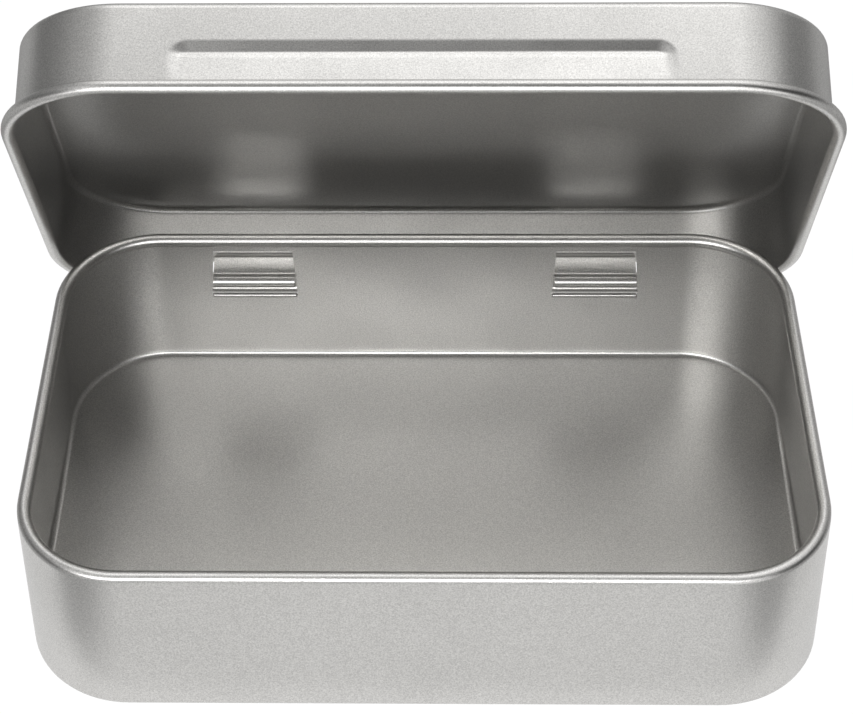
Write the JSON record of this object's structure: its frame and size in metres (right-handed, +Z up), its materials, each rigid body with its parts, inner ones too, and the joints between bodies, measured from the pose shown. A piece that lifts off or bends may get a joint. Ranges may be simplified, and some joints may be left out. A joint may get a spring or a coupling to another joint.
{
  "type": "hinged-lid tin",
  "caption": "Shallow rectangular tinplate box with rounded corners, a curled rim and a hinged lid with a rolled edge, standing open and empty.",
  "frame": {"origin": "centre of the base pan's flat underside, where the tin stands", "axes": "+X along the tin's long side, to the right seen from the front; +Y from the front to the hinge; +Z up"},
  "size_m": [0.0964, 0.0692, 0.0704],
  "materials": {
    "base_tinplate": "bare tinplate, satin",
    "lid_tinplate": "bare tinplate, satin"
  },
  "bodies": {
    "base": {"base_pan": "base_tinplate"},
    "lid": {"lid": "lid_tinplate"}
  },
  "joints": [
    {"name": "lid_hinge", "type": "hinge", "parent": "base", "child": "lid", "pos_m": [0, 0.03055, 0.0112], "axis": [-1, 0, 0], "range_deg": [-62.4, 37.6]}
  ]
}
